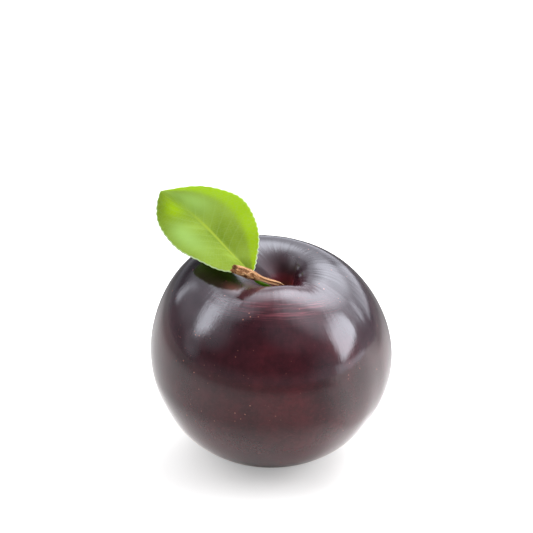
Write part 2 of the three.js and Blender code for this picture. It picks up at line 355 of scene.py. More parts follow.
def skin_colour(n, place, flow, scar):
    """The skin's colour, laid on from the ground colour to the finest marks."""
    low = n.attribute("low")
    belly = n.attribute("belly")
    colour = n.ramp(n.noise(place, CLOUD_SCALE, 4.0, 0.55), *SKIN_CLOUDS)
    streak = n.noise(n.scaled(flow, STREAK_STRETCH), 3.0, 4.0, 0.6)
    colour = n.tint(colour, streak, *STREAK_RED)
    # The sides are darker than the front that faces the camera, as painted shade, and the shoulders are
    # darker and bluer than the belly
    colour = n.tint(colour, n.attribute("side"), *SIDE_PAINTED_SHADE)
    colour = n.tint(colour, n.attribute("shoulder"), *SHOULDER_DARK)
    # The cavity is dark, and red at its bottom
    inside = n.ramp(n.attribute("deep"), *CAVITY_COLOURS)
    colour = n.tint(colour, n.attribute("cavity"), CAVITY_SHARE, inside)
    # Low down the skin is darkened: painted shade under the fruit
    colour = n.tint(colour, low, *LOW_PAINTED_SHADE)
    colour = n.mix(1.0, colour, n.ramp(n.noise(place, MOTTLE_SCALE, 4.0, 0.7), *MOTTLE), "MULTIPLY")
    # Fine crosswise flecks and faint streaks that run down the belly
    flecks = n.ramp(n.noise(n.scaled(flow, FLECK_STRETCH), 1.0, 3.0, 0.65), *FLECKS)
    colour = n.tint(colour, flecks, belly, FLECK_RED)
    streaks = n.ramp(n.noise(n.scaled(flow, BELLY_STREAK_STRETCH), 1.0, 3.0, 0.6), *BELLY_STREAKS)
    colour = n.tint(colour, streaks, belly, BELLY_STREAK_RED)
    # Fine pinkish stretch lines round the lip
    lines = n.ramp(n.noise(n.scaled(flow, RING_LINE_STRETCH), 1.0, 2.0, 0.6), *RING_LINES)
    lines = n.math("MULTIPLY", lines, n.attribute("lip_lines"))
    colour = n.tint(colour, lines, *RING_PINK)
    # A pinkish patch at the front left, just below the lip: a painted reflection of the stalk's knob
    colour = n.mix(n.attribute("knob_reflection"), colour, KNOB_REFLECTION_PINK)
    colour = n.tint(colour, n.attribute("dull"), *DULL_BROWN)
    # Tiny pale dots in loose groups, larger and closer together low on the fruit
    dots = n.add("ShaderNodeTexVoronoi", {"Vector": place, "Scale": DOT_CELLS, "Randomness": 1.0})
    reach = n.math("SUBTRACT", dots.outputs["Distance"], n.math("MULTIPLY", low, DOTS_LARGER_LOW))
    dot = n.ramp(reach, *DOT_FADE)
    draw = n.add("ShaderNodeSeparateColor", {0: dots.outputs["Color"]}).outputs[0]
    group = n.math("ADD", n.noise(place, DOT_GROUP_SCALE, 2.0), n.math("MULTIPLY", low, DOTS_CLOSER_LOW))
    chosen = n.math("MULTIPLY", n.math("GREATER_THAN", draw, DOTS_LEFT_OUT), n.ramp(group, *DOT_GROUPS))
    colour = n.tint(colour, n.math("MULTIPLY", dot, chosen), *DOT_PALE)
    return n.mix(scar, colour, SCAR_BROWN)


def skin_material():
    material = bpy.data.materials.new("plum_skin")
    n = Nodes(material)
    place = n.add("ShaderNodeTexCoord").outputs["Object"]
    flow = n.attribute("flow", "Vector")
    cavity = n.attribute("cavity")
    # A bark-like scar round the socket
    scar = n.math("MULTIPLY", n.attribute("scar"),
                  n.ramp(n.noise(place, SCAR_SCALE, 3.0, 0.7), *SCAR_PATCHES))
    n.put(n.shader.inputs["Base Color"], skin_colour(n, place, flow, scar))

    # The bloom makes the gloss uneven, and the cavity and a place at the front left are dull
    rough = n.ramp(n.noise(n.scaled(flow, BLOOM_STRETCH), 3.0, 5.0, 0.6), *SKIN_ROUGHNESS)
    rough = n.tint(rough, cavity, *DULL_ROUGHNESS)
    rough = n.tint(rough, n.attribute("dull"), *DULL_ROUGHNESS)
    rough = n.mix(scar, rough, SCAR_ROUGHNESS)
    n.put(n.shader.inputs["Roughness"], rough)
    n.shader.inputs["IOR"].default_value = SKIN_IOR
    specular = n.math("MULTIPLY_ADD", cavity, -SPECULAR_LOST_INSIDE, third=SPECULAR)
    n.put(n.shader.inputs["Specular IOR Level"], specular)
    n.put(n.shader.inputs["Coat Weight"], n.math("MULTIPLY_ADD", cavity, -COAT, third=COAT))
    n.shader.inputs["Coat Roughness"].default_value = COAT_ROUGHNESS
    n.shader.inputs["Coat IOR"].default_value = COAT_IOR

    pores = n.bump(n.noise(place, PORE_SCALE, 3.0, 0.6), *PORES)
    striae = n.noise(n.scaled(flow, STRIAE_STRETCH), 3.0, 3.0, 0.6)
    n.put(n.shader.inputs["Normal"], n.bump(striae, *STRIAE, pores))
    return material


# Rings of the fruit's mesh, and points in each ring
FLAT_SPOT_RINGS = 8
BELLY_RINGS = 46
SHOULDER_RINGS = 100
CAVITY_RINGS = 50
FRUIT_SIDES = 480
INNERMOST_RADIUS = 0.6
SOCKET_BEVEL = (0.15, 0.2)

# Relief of the skin: heights in millimetres, and places by stage or by height, azimuth and spread
RIDGE_WAVES = (23, 31, 43, 57, 74, 91)
RIDGE_HEIGHT = 0.045
RIDGE_ZONE = (2.15, 0.5)
RIDGES_FROM = 0.9
RIDGES_END = (2.18, 0.3)
RIDGED_MOST = (1.0, -25, 30)
RIDGED_ANYWHERE = 0.35
RING_HEIGHT = 0.006
RING_SPACINGS = (0.034, 0.021)
RING_ZONE = (1.74, 0.09)
RINGED_SIDE = (1.0, -78, 34)
SWELL_HEIGHT = 0.06
SWELL_BEGINS = (0.35, 0.4)

# Masks of the skin: a middle and a spread or a start and a length by stage, and a hump round an azimuth
DULL_INSIDE = (2.10, 0.45)
DULL_INSIDE_LATER = (0.42, -6, 44)
DULL_INSIDE_UNEVEN = 0.14
DULL_INSIDE_EVEN = (1.0, 5, 60)
DEEP = (2.55, 0.4)
# Where the painted reflection of the stalk's knob lies: by stage, then by azimuth
KNOB_REFLECTION_BAND, KNOB_REFLECTION_SIDE = (1.93, 0.06), (0.5, -128, 9)
SHOULDER, SHOULDER_SPARED = (1.15, 0.5), (0.82, -76, 40)
# The front, towards the camera, which the painted shade on the sides spares
FRONT = (1.0, -90, 54)
BELLY, BELLY_FRONT, BELLY_ANYWHERE = (0.75, 0.4), (0.50, -85, 50), 0.40
LOW_ENDS = 0.9
SCAR_BELOW, SCAR_REACH = 2.5, (1.4, 1.1)
DULL_LIP, DULL_LIP_SIDE = (2.18, 0.22), (1.0, -117, 20)


def fruit_profile(wall):
    """Radius, height and stage: 0 to 1 on the belly, 1 to 2 on the shoulder, 2 to 3 down the cavity."""
    lip_reach, floor_reach, floor_rise = wall
    foot = (FLAT_SPOT_RADIUS, 0.0)
    equator = (FRUIT_RADIUS, EQUATOR_HEIGHT)
    lip = (LIP_RADIUS, FRUIT_HEIGHT)
    floor = (CAVITY_FLOOR_RADIUS, FRUIT_HEIGHT - CAVITY_DEPTH)
    belly = [foot, (foot[0] + FOOT_REACH, 0.0), (equator[0], equator[1] - BELLY_REACH), equator]
    shoulder = [equator, (equator[0], equator[1] + SHOULDER_REACH), (lip[0] + LIP_OUTER_REACH, lip[1]), lip]
    cavity = [lip, (lip[0] - lip_reach, lip[1]), (floor[0] + floor_reach, floor[1] + floor_rise), floor]
    flat = np.linspace(INNERMOST_RADIUS, FLAT_SPOT_RADIUS, FLAT_SPOT_RINGS, endpoint=False)
    rows = [(r, 0.0, 0.0) for r in flat]
    pieces = ((belly, BELLY_RINGS), (shoulder, SHOULDER_RINGS), (cavity, CAVITY_RINGS))
    for piece, (curve, steps) in enumerate(pieces):
        share = np.linspace(0, 1, steps + 1)
        first = 0 if piece == 0 else 1
        rows += [(r, z, piece + s) for (r, z), s in zip(bezier(curve, share)[first:], share[first:])]
    rim = floor[1] - SOCKET_RIM_DROP
    bevel_width, bevel_drop = SOCKET_BEVEL
    rows += [(SOCKET_RADIUS + bevel_width, rim, 3.0), (SOCKET_RADIUS, rim - bevel_drop, 3.0),
             (SOCKET_RADIUS, floor[1] - SOCKET_DEPTH, 3.0)]
    return np.array(rows).T


def skin_relief(degrees, stage, in_cavity):
    """The height of the skin's relief, and the ridges and the ring zone that the masks use too."""
    angle = np.radians(degrees)
    draw = np.random.default_rng(SEED)
    # Shallow ridges that run over the lip and down the cavity
    ridges = np.zeros_like(angle)
    for waves in RIDGE_WAVES:
        ridges = ridges + np.sin(waves * angle + draw.uniform(0, TAU)) / len(RIDGE_WAVES)
    wrinkled = bell(degrees, RIDGED_MOST) + RIDGED_ANYWHERE
    relief = RIDGE_HEIGHT * ridges * hump(stage, *RIDGE_ZONE) * wrinkled * (stage > RIDGES_FROM)
    relief = relief * (1 - rise(stage, *RIDGES_END))
    # Fine rings on the outside of the lip
    warp = 0.015 * np.sin(3 * angle + 1.0) + 0.008 * np.sin(7 * angle)
    wide, narrow = RING_SPACINGS
    rings = np.sin(TAU * (stage + warp) / wide) + 0.6 * np.sin(TAU * (stage + 2 * warp) / narrow)
    ring_zone = hump(stage, *RING_ZONE) * bell(degrees, RINGED_SIDE)
    relief = relief + RING_HEIGHT * rings * ring_zone
    # The skin is never quite even
    swell = SWELL_HEIGHT * (np.sin(5 * angle + 0.7) - 1) * np.sin(math.pi * np.clip(stage, 0, 2) / 2) ** 2
    begun = rise(stage, *SWELL_BEGINS) * (1 - in_cavity)
    relief = relief + np.where(stage > SWELL_BEGINS[0], swell * begun, 0)
    return relief, ridges, ring_zone


def make_fruit():
    degrees = np.linspace(-180, 180, FRUIT_SIDES, endpoint=False)[None, :]
    angle = np.radians(degrees)
    facing = np.cos(np.radians(degrees - GENTLE_AZIMUTH))
    gentleness = rise(facing, GENTLE_ENDS_AT, GENTLE_BLEND)
    steep, gentle = (fruit_profile(wall)[..., None] for wall in (STEEP_WALL, GENTLE_WALL))
    radius, height, _ = steep + (gentle - steep) * gentleness
    stage = steep[2]
    in_cavity = smooth(stage - 2)
    near_lip = np.where(stage <= 2, smooth((stage - 1 - DIP_BEGINS) / (1 - DIP_BEGINS)), 1 - in_cavity)
    furrow_share = (SUTURE_ON_BELLY + (1 - SUTURE_ON_BELLY) * near_lip) * smooth(stage / SUTURE_BEGINS)
    furrow = bell(degrees, SUTURE) * furrow_share * (1 - in_cavity)
    across = (radius - furrow) * np.cos(angle)
    along = (radius - furrow) * np.sin(angle)
    lean = TOP_LEAN * across * (height / FRUIT_HEIGHT) ** 2
    dip = (bell(degrees, FRONT_DIP) + bell(degrees, SADDLE)) * near_lip
    x = across + CAVITY_SHIFT * in_cavity
    z = height - lean - dip

    grid = np.stack([x, along + 0 * x, z + 0 * x], -1)
    out = np.cross(np.roll(grid, -1, 1) - np.roll(grid, 1, 1), np.gradient(grid, axis=0))
    length = np.linalg.norm(out, axis=-1, keepdims=True)
    out = out / np.where(length > 0, length, 1)
    relief, ridges, ring_zone = skin_relief(degrees, stage, in_cavity)
    grid = grid + out * relief[..., None]

    rows, sides = grid.shape[:2]
    socket_floor = grid[-1].mean(0)
    points = np.vstack([grid.reshape(-1, 3), [(0.0, 0.0, 0.0)], [socket_floor]])
    full = np.ones((rows, sides))

    def spread(values, first, last):
        """A value at each point of the grid, then at the two middle points."""
        return np.concatenate([(values * full).ravel(), [first, last]])

    flow = np.stack([np.cos(angle) * full, np.sin(angle) * full, stage * full], -1).reshape(-1, 3)
    flow = np.vstack([flow, [(0, 0, 0)], [(0, 0, 3)]])
    dull_from = DULL_INSIDE[0] + bell(degrees, DULL_INSIDE_LATER)
    dull_from = dull_from + DULL_INSIDE_UNEVEN * ridges * (1 - bell(degrees, DULL_INSIDE_EVEN))
    belly_share = BELLY_ANYWHERE + bell(degrees, BELLY_FRONT)
    shoulder_share = 1 - bell(degrees, SHOULDER_SPARED)
    from_socket = np.hypot(grid[..., 0] - CAVITY_SHIFT, grid[..., 1])
    attributes = {
        "flow": flow,
        "cavity": spread(rise(stage, dull_from, DULL_INSIDE[1]), 0, 1),
        "deep": spread(rise(stage, *DEEP), 0, 1),
        "lip_lines": spread(ring_zone, 0, 0),
        "knob_reflection": spread(hump(stage, *KNOB_REFLECTION_BAND) * bell(degrees, KNOB_REFLECTION_SIDE), 0, 0),
        "shoulder": spread(rise(stage, *SHOULDER) * (1 - in_cavity) * shoulder_share, 0, 0),
        # Painted shade: 1 on the sides, 0 on the front towards the camera
        "side": spread(1 - bell(degrees, FRONT) + 0 * stage, 0, 0),
        "belly": spread(hump(stage, *BELLY) * belly_share, 0, 0),
        # 1 at the bottom: it darkens the skin there as painted shade, and makes the dots larger and closer
        "low": spread(1 - smooth(stage / LOW_ENDS), 1, 0),
        "scar": spread(np.where(stage > SCAR_BELOW, 1 - rise(from_socket, *SCAR_REACH), 0), 0, 1),
        "dull": spread(hump(stage, *DULL_LIP) * bell(degrees, DULL_LIP_SIDE), 0, 0),
    }
    faces = loft_faces(rows, sides)
    fruit = mesh_object("fruit_skin", points, faces, skin_material(), attributes)
    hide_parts("fruit")
    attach(fruit, "root")


# The stalk

BARK_BROWNS_WITH_PAINTED_LIGHT = ((0.22, (0.070, 0.022, 0.007)), (0.48, (0.33, 0.150, 0.056)), (0.78, (0.62, 0.37, 0.18)))
KNOB_BROWNS = ((0.34, (0.045, 0.015, 0.006)), (0.50, (0.26, 0.110, 0.036)), (0.68, (0.55, 0.30, 0.12)))
KNOB_SHARE = 0.55
SPECK_SCALE = 2600.0
SPECKS = (0.5, 0.00015)
GRAIN_STRETCH = (2.5, 2.5, 0.5)
GRAIN_SHARE = 0.8
STALK_ROUGHNESS = 0.7
STALK_SPECULAR = 0.15


def stalk_material():
    material = bpy.data.materials.new("plum_stalk")
    n = Nodes(material)
    place = n.add("ShaderNodeTexCoord").outputs["Object"]
    grain = n.noise(n.scaled(n.attribute("flow", "Vector"), GRAIN_STRETCH), 4.0, 5.0, 0.65)
    grain = n.math("MULTIPLY", n.math("SUBTRACT", grain, 0.5), GRAIN_SHARE)
    speck = n.noise(place, SPECK_SCALE, 3.0, 0.7)
    # Lighter on the ridges and darker in the furrows: painted highlight and shade over the bark's own grain
    colour = n.ramp(n.math("ADD", n.attribute("relief"), grain), *BARK_BROWNS_WITH_PAINTED_LIGHT)
    colour = n.tint(colour, n.attribute("knob"), KNOB_SHARE, n.ramp(speck, *KNOB_BROWNS))
    n.put(n.shader.inputs["Base Color"], colour)
    n.shader.inputs["Roughness"].default_value = STALK_ROUGHNESS
    n.shader.inputs["Specular IOR Level"].default_value = STALK_SPECULAR
    n.put(n.shader.inputs["Normal"], n.bump(speck, *SPECKS))
    return material


STALK_RINGS = 240
STALK_SIDES = 56
STALK_RIDGE_HEIGHT = 0.11
RIDGES_RISE_OVER = 0.15
# Lumps and pits on the knob: how many, where along the stalk, how long, how high and how wide
LUMPS = 34
LUMP_PLACES = (0.6, 1.0)
LUMP_LENGTHS = (0.015, 0.05)
LUMP_HEIGHTS = (-0.34, 0.30)
LUMP_WIDTHS = (0.2, 0.5)
LUMP_LIMITS = (-0.4, 0.32)
FIBRE_HEIGHT = 0.045
# Waves of the torn end: how many round it, their phase and their height
TORN_WAVES = ((3, 0.6, 0.22), (7, 2.0, 0.16), (12, 0.0, 0.10))
TORN_END = (0.93, 0.07)
# Rings inside the cut end: share of its width and depth below it, and the depth at its middle
HOLLOW_RINGS = ((0.72, 0.10), (0.35, 0.32))
HOLLOW_DEPTH = 0.36
# Painted shade in the hollow: the share of the rim's colour place that each ring keeps
HOLLOW_PAINTED_SHADE = (0.5, 0.1)
RELIEF_RANGE = 0.22
STALK_FLOW_LENGTH = 12


def make_stalk():
    along = np.linspace(0, 1, STALK_RINGS)[:, None]
    line = through(STALK_POINTS, STALK_RINGS)
    normals, binormals = carried_frames(line)
    turn = np.linspace(0, TAU, STALK_SIDES, endpoint=False)[None, :]
    knob = smooth((along - KNOB_START) / (KNOB_PEAK - KNOB_START))
    end = smooth((along - KNOB_PEAK) / (1 - KNOB_PEAK))
    radius = STALK_RADIUS + (KNOB_RADIUS - STALK_RADIUS) * knob + (CUT_END_RADIUS - KNOB_RADIUS) * end

    draw = np.random.default_rng(SEED + 1)
    twist = 0.6 * np.sin(3.1 * along)
    ridges = (np.cos(5 * (turn + twist)) * 0.5 + np.cos(3 * (turn - 0.7 * along) + 1.3) * 0.3
              + np.cos(9 * (turn + 0.5 * twist)) * 0.2)
    relief = STALK_RIDGE_HEIGHT * ridges * smooth(along / RIDGES_RISE_OVER) * (1 - 0.5 * knob)
    lumps = np.zeros_like(relief)
    for _ in range(LUMPS):
        where, side = draw.uniform(*LUMP_PLACES), draw.uniform(0, TAU)
        size, tall = draw.uniform(*LUMP_LENGTHS), draw.uniform(*LUMP_HEIGHTS)
        wide = draw.uniform(*LUMP_WIDTHS)
        away = (turn - side + math.pi) % TAU - math.pi
        lumps = lumps + tall * np.exp(-((along - where) / size) ** 2 - (away / wide) ** 2)
    fibres = np.sin(11 * turn + 9 * along + 2 * np.sin(40 * along)) + 0.7 * np.sin(17 * turn - 21 * along)
    relief = relief + (np.clip(lumps, *LUMP_LIMITS) + FIBRE_HEIGHT * fibres) * knob
    reach = radius + relief
    points = (line[:, None, :] + normals[:, None, :] * (reach * np.cos(turn))[..., None]
              + binormals[:, None, :] * (reach * np.sin(turn))[..., None])
    # The cut end is ragged and hollowed a little
    heading = unit(line[-1] - line[-2])
    torn = sum(height * np.sin(waves * turn[0] + phase) for waves, phase, height in TORN_WAVES)
    near_end = rise(along[:, 0], *TORN_END)
    points = points + heading * (near_end[:, None] * torn[None, :])[..., None]
    rim = points[-1]
    hollow = [line[-1] + (rim - line[-1]) * share - heading * depth for share, depth in HOLLOW_RINGS]
    grid = np.concatenate([points, hollow])
    tail = line[-1] - heading * HOLLOW_DEPTH
    everything = np.vstack([grid.reshape(-1, 3), [line[0]], [tail]])

    # Painted highlight on the ridges and painted shade in the furrows, by the relief
    ridge_light_share = np.clip(0.5 + relief / RELIEF_RANGE, 0, 1)
    # Painted shade in the hollow of the cut end, darkest at its middle
    ridge_light_share = np.vstack([ridge_light_share] + [ridge_light_share[-1:] * share for share in HOLLOW_PAINTED_SHADE])
    ones = np.ones((len(HOLLOW_RINGS), 1))
    long = np.vstack([along, ones])
    flow = [np.cos(turn) + 0 * long, np.sin(turn) + 0 * long, STALK_FLOW_LENGTH * long + 0 * turn]
    attributes = {
        "flow": np.vstack([np.stack(flow, -1).reshape(-1, 3), [(0, 0, 0)], [(0, 0, STALK_FLOW_LENGTH)]]),
        "relief": np.concatenate([ridge_light_share.ravel(), [0.3, 0.0]]),
        "knob": np.concatenate([(np.vstack([knob, ones]) + 0 * turn).ravel(), [0, 1]]),
    }
    faces = loft_faces(len(grid), STALK_SIDES)
    stalk = mesh_object("stalk_bark", everything, faces, stalk_material(), attributes)
    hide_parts("stem")
    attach(stalk, "root")


# The leaf

SIDE_VEINS = 11
VEIN_SWEEP, VEIN_CURVE = 0.30, 0.8
BRANCHES, BRANCH_SWEEP = 47, 0.10
NET_CELLS = 900.0
LEAF_GREENS = ((0.3, (0.14, 0.205, 0.012)), (0.55, (0.18, 0.25, 0.020)), (0.75, (0.23, 0.31, 0.040)))
OUTER_HALF = ((0.52, 0.0), (0.74, 1.0))
OUTER_GREEN = (0.9, (0.23, 0.34, 0.001))
TIP_GREEN = (0.9, (0.27, 0.38, 0.002))
SHEEN_PAINTED_GREEN = (0.75, (0.27, 0.39, 0.10))
VEIN_LINE = ((0.0, 1.0), (0.05, 0.5), (0.11, 0.0))
VEIN_FADES_OUT = ((0.0, 1.0), (0.9, 0.15))
VEIN_GREEN = (0.34, (0.25, 0.34, 0.08))
BRANCH_LINE = ((0.0, 1.0), (0.16, 0.0))
BRANCH_GREEN = (0.12, (0.24, 0.33, 0.08))
NET_LINE = ((0.0, 1.0), (0.10, 0.0))
NET_GREEN = (0.20, (0.22, 0.31, 0.08))
MIDRIB_LINE = ((0.0, 1.0), (0.018, 1.0), (0.04, 0.0))
MIDRIB_FADES_OUT = ((0.0, 1.0), (0.55, 1.0), (0.85, 0.0))
MIDRIB_GREEN = (0.85, (0.27, 0.33, 0.03))
MARGIN_PAINTED_HIGHLIGHT = (0.50, 0.55, 0.38)
LEAF_STALK_GREEN = (0.10, 0.19, 0.015)
LEAF_ROUGHNESS = 0.5
LEAF_SPECULAR = 0.04
REFLECTED = (1.40, 1.36, 1.38)
SHINING_THROUGH = (1.8, 2.1, 1.6)
SHARE_THROUGH = 0.45
LEAF_PORE_SCALE = 1300.0
LEAF_CLOUD_SCALE = 130.0
LEAF_RELIEF = (0.25, 0.0001)
VEIN_SUNK, NET_SUNK = -0.6, -0.3


def leaf_material():
    material = bpy.data.materials.new("plum_leaf")
    n = Nodes(material)
    place = n.add("ShaderNodeTexCoord").outputs["Object"]
    across = n.attribute("across")
    along = n.attribute("along")
    away = n.math("ABSOLUTE", across)

    colour = n.ramp(n.noise(place, LEAF_CLOUD_SCALE), *LEAF_GREENS)
    colour = n.tint(colour, n.ramp(across, *OUTER_HALF, smooth_steps=True), *OUTER_GREEN)
    colour = n.tint(colour, n.attribute("tip_patch"), *TIP_GREEN)
    # The paler patches are a painted sheen
    colour = n.tint(colour, n.attribute("pale"), *SHEEN_PAINTED_GREEN)
    # Side veins leave the midrib and sweep towards the tip, with finer veins and a net between them
    bent = n.math("MULTIPLY", n.math("POWER", away, VEIN_CURVE), VEIN_SWEEP)
    vein = n.stripes(n.math("SUBTRACT", along, bent), SIDE_VEINS, *VEIN_LINE)
    vein = n.math("MULTIPLY", vein, n.ramp(away, *VEIN_FADES_OUT))
    colour = n.tint(colour, vein, *VEIN_GREEN)
    branch = n.stripes(n.math("ADD", along, n.math("MULTIPLY", away, BRANCH_SWEEP)), BRANCHES, *BRANCH_LINE)
    colour = n.tint(colour, branch, *BRANCH_GREEN)
    net = n.add("ShaderNodeTexVoronoi", {"Vector": place, "Scale": NET_CELLS}, feature="DISTANCE_TO_EDGE")
    net_line = n.ramp(net.outputs["Distance"], *NET_LINE)
    colour = n.tint(colour, net_line, *NET_GREEN)
    midrib = n.math("MULTIPLY", n.ramp(away, *MIDRIB_LINE), n.ramp(along, *MIDRIB_FADES_OUT))
    colour = n.tint(colour, midrib, *MIDRIB_GREEN)
    # A pale rim along the margin: a painted highlight on the leaf's edge
    colour = n.mix(n.attribute("edge"), colour, MARGIN_PAINTED_HIGHLIGHT)
    colour = n.mix(n.ramp(along, (0.0, 1.0), (0.002, 0.0)), colour, LEAF_STALK_GREEN)
    n.put(n.shader.inputs["Base Color"], n.mix(1.0, colour, REFLECTED, "MULTIPLY"))
    n.shader.inputs["Roughness"].default_value = LEAF_ROUGHNESS
    n.shader.inputs["Specular IOR Level"].default_value = LEAF_SPECULAR

    # The veins and the net lie a little lower than the blade between them
    sunk = n.math("ADD", n.noise(place, LEAF_PORE_SCALE, 3.0, 0.6), n.math("MULTIPLY", vein, VEIN_SUNK))
    relief = n.math("ADD", n.math("MULTIPLY", net_line, NET_SUNK), sunk)
    n.put(n.shader.inputs["Normal"], n.bump(relief, *LEAF_RELIEF))
    # Light shines through the thin blade
    glow = n.add("ShaderNodeBsdfTranslucent", {"Color": n.mix(1.0, colour, SHINING_THROUGH, "MULTIPLY")})
    both = n.add("ShaderNodeMixShader", {0: SHARE_THROUGH, 1: n.shader.outputs[0], 2: glow.outputs[0]})
    n.put(n.tree.nodes["Material Output"].inputs["Surface"], both.outputs[0])
    return material


BLADE_STATIONS = 240
BLADE_STRIPS = 26
LEAF_STALK_RINGS = 40
# The teeth's crowding and how narrow they are, and the widths where the teeth and the crown are full
TEETH_CROWD = 0.97
TEETH_SHARPNESS = 1.6
FULL_TEETH_WIDTH = 6
FULL_CROWN_WIDTH = 12
# The blade's thinning towards the margin, the midrib's shape, and the puckers between the side veins
THINNER_MARGIN = 0.45
RIB_TAPER, RIB_WIDTH = 0.7, 0.05
PUCKER = 0.05
PUCKER_SHARE = 0.3
EDGE_HIGHLIGHT_REACH = (0.10, 0.22)
# Patches of the blade: middle and spread along it, then across it
TIP_PATCH = ((0.84, 0.09), (-0.35, 0.35))
SHEEN_TIP = ((0.80, 0.16), (0.30, 0.28))
SHEEN_TIP_STRENGTH = 0.9
# A value on the leaf stalk that no place on the blade has
ON_LEAF_STALK = -0.01


def leaf_ring(middle, lower, upper, normal, half, crown):
    """Points of one section: the upper face from margin to margin, then the lower face back."""
    share = np.abs(np.linspace(-1, 1, 2 * BLADE_STRIPS + 1))[:, None]
    left = np.arange(2 * BLADE_STRIPS + 1)[:, None] < BLADE_STRIPS
    edge = np.where(left, lower, upper)
    centre = middle + (edge - middle) * share + normal * crown[:, None]
    return np.vstack([centre + normal * half[:, None], (centre - normal * half[:, None])[::-1]])


def make_leaf():
    shares = np.linspace(-1, 1, 2 * BLADE_STRIPS + 1)
    away = np.abs(shares)
    u = np.linspace(0, 1, BLADE_STATIONS + 1)[1:-1]
    ends = (LEAF_BASE, LEAF_TIP)
    all_handles = (MIDRIB_HANDLES, LOWER_MARGIN_HANDLES, UPPER_MARGIN_HANDLES)
    curves = [[ends[0], *handles, ends[1]] for handles in all_handles]
    midrib, lower, upper = (bezier(curve, u) for curve in curves)
    heading = bezier_heading(curves[0], u)
    across = upper - lower
    width = np.linalg.norm(across, axis=1)
    normal = -unit(np.cross(heading, across))
    notch = 0.5 + 0.5 * np.cos(TAU * TEETH_PER_MARGIN * u ** TEETH_CROWD)
    teeth = TOOTH_DEPTH * notch ** TEETH_SHARPNESS * np.clip(width / FULL_TEETH_WIDTH, 0, 1)
    pull = (teeth / np.maximum(width / 2, TOOTH_DEPTH))[:, None]
    lower = lower + (midrib - lower) * pull
    upper = upper + (midrib - upper) * pull

    rings = []
    stalk_line = through(LEAF_STALK_POINTS, LEAF_STALK_RINGS + 1)[:-1]
    stalk_heading = unit(np.gradient(stalk_line, axis=0))
    round_half = LEAF_STALK_RADIUS * np.sqrt(np.clip(1 - away ** 2, 0.02, 1))
    for point, way in zip(stalk_line, stalk_heading):
        side = unit(across[0] - way * np.dot(way, across[0]))
        up = unit(np.cross(side, way))
        reach = side * LEAF_STALK_RADIUS
        rings.append(leaf_ring(point, point - reach, point + reach, up, round_half, 0 * away))
    for k, share in enumerate(u):
        rib = (MIDRIB_THICKNESS - BLADE_THICKNESS) * (1 - share) ** RIB_TAPER * hump(away, 0, RIB_WIDTH)
        half = (BLADE_THICKNESS * (1 - THINNER_MARGIN * away ** 4) + rib) / 2
        room = min(1.0, width[k] / FULL_CROWN_WIDTH)
        crown = (BLADE_CROWN * room * away * (1 - away) * 2
                 + MARGIN_WAVE * room * away ** 2 * np.sin(TAU * MARGIN_WAVES * share + np.sign(shares)))
        # The side veins stand in shallow furrows, and the blade puckers between them
        sweep = share - VEIN_SWEEP * away ** VEIN_CURVE
        pucker = PUCKER * np.cos(TAU * SIDE_VEINS * sweep) * smooth(away / 0.1) * (1 - away ** 3) * room
        crown = crown - PUCKER_SHARE * pucker
        rings.append(leaf_ring(midrib[k], lower[k], upper[k], normal[k], half, crown))
    grid = np.array(rings)
    count, sides = grid.shape[:2]
    points = np.vstack([grid.reshape(-1, 3), [LEAF_STALK_POINTS[0]], [LEAF_TIP]])

    both_faces = np.concatenate([shares, shares[::-1]])
    along = np.concatenate([np.full(LEAF_STALK_RINGS, ON_LEAF_STALK), u])[:, None] + 0 * both_faces[None, :]
    across_share = both_faces[None, :] + 0 * along
    reach = np.concatenate([np.full(LEAF_STALK_RINGS, 1.0), width / 2])[:, None]
    from_edge = (1 - np.abs(across_share)) * reach
    # The painted highlight along the margin, fading inwards
    edge = np.where(along > 0, 1 - rise(from_edge, *EDGE_HIGHLIGHT_REACH), 0)
    # Brighter near the tip; paler on the lower half and beside the tip, where a sheen is painted
    tip_patch = hump(along, *TIP_PATCH[0]) * hump(across_share, *TIP_PATCH[1])
    sheen_half = hump(across_share, -0.62, 0.3) * smooth((0.8 - along) / 0.2) * rise(along, 0.25, 0.35)
    sheen_tip = SHEEN_TIP_STRENGTH * hump(along, *SHEEN_TIP[0]) * hump(across_share, *SHEEN_TIP[1])
    attributes = {
        "along": np.concatenate([along.ravel(), [ON_LEAF_STALK, 1.0]]),
        "across": np.concatenate([across_share.ravel(), [0.0, 0.0]]),
        "edge": np.concatenate([edge.ravel(), [0.0, 1.0]]),
        "tip_patch": np.concatenate([tip_patch.ravel(), [0.0, 0.0]]),
        "pale": np.concatenate([np.maximum(sheen_half, sheen_tip).ravel(), [0.0, 0.0]]),
    }
    leaf = mesh_object("leaf_blade", points, loft_faces(count, sides), leaf_material(), attributes)
    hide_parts("leaf")
    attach(leaf, "root")


# The studio: floor, lights, background and camera

FLOOR_SIDE = 3.0
# Painted light on the floor: how white it is round the fruit, by azimuth, and how much of that it keeps far
# away
FLOOR_PAINTED_LIGHT_AROUND = ((-180, 0.06), (-152, 0.15), (-136, 0.52), (-110, 0.64), (-60, 0.56), (-20, 0.41), (20, 0.33),
                (40, 0.40), (62, 0.90), (112, 0.92), (128, 0.60), (145, 0.22), (170, 0.06))
FLOOR_KEPT_FAR = ((40, 0.0), (62, 1.0), (108, 1.0), (125, 0.0))
# Two distances in metres: the floor falls off to a share between them, and is lifted nearer than the second.
# Both are painted light: a falloff far away, and a brighter floor close round the fruit
FLOOR_PAINTED_FALLOFF = (0.12, 0.32, 0.45)
NEAR_PAINTED_LIGHT = (0.03, 0.058, 2.3)
# The floor as the camera sees it, and the faint light that it gives off there
FLOOR_SEEN = (0.72, 0.72, 0.72)
FLOOR_TINT = (1.0, 0.965, 0.87)
FLOOR_GRAIN = ((0.3, 0.98), (0.7, 1.0))
FLOOR_LIFT = 0.33
FLOOR_ROUGHNESS = 0.8
FLOOR_SPECULAR = 0.1
WHITE = (1.0, 1.0, 1.0, 1.0)


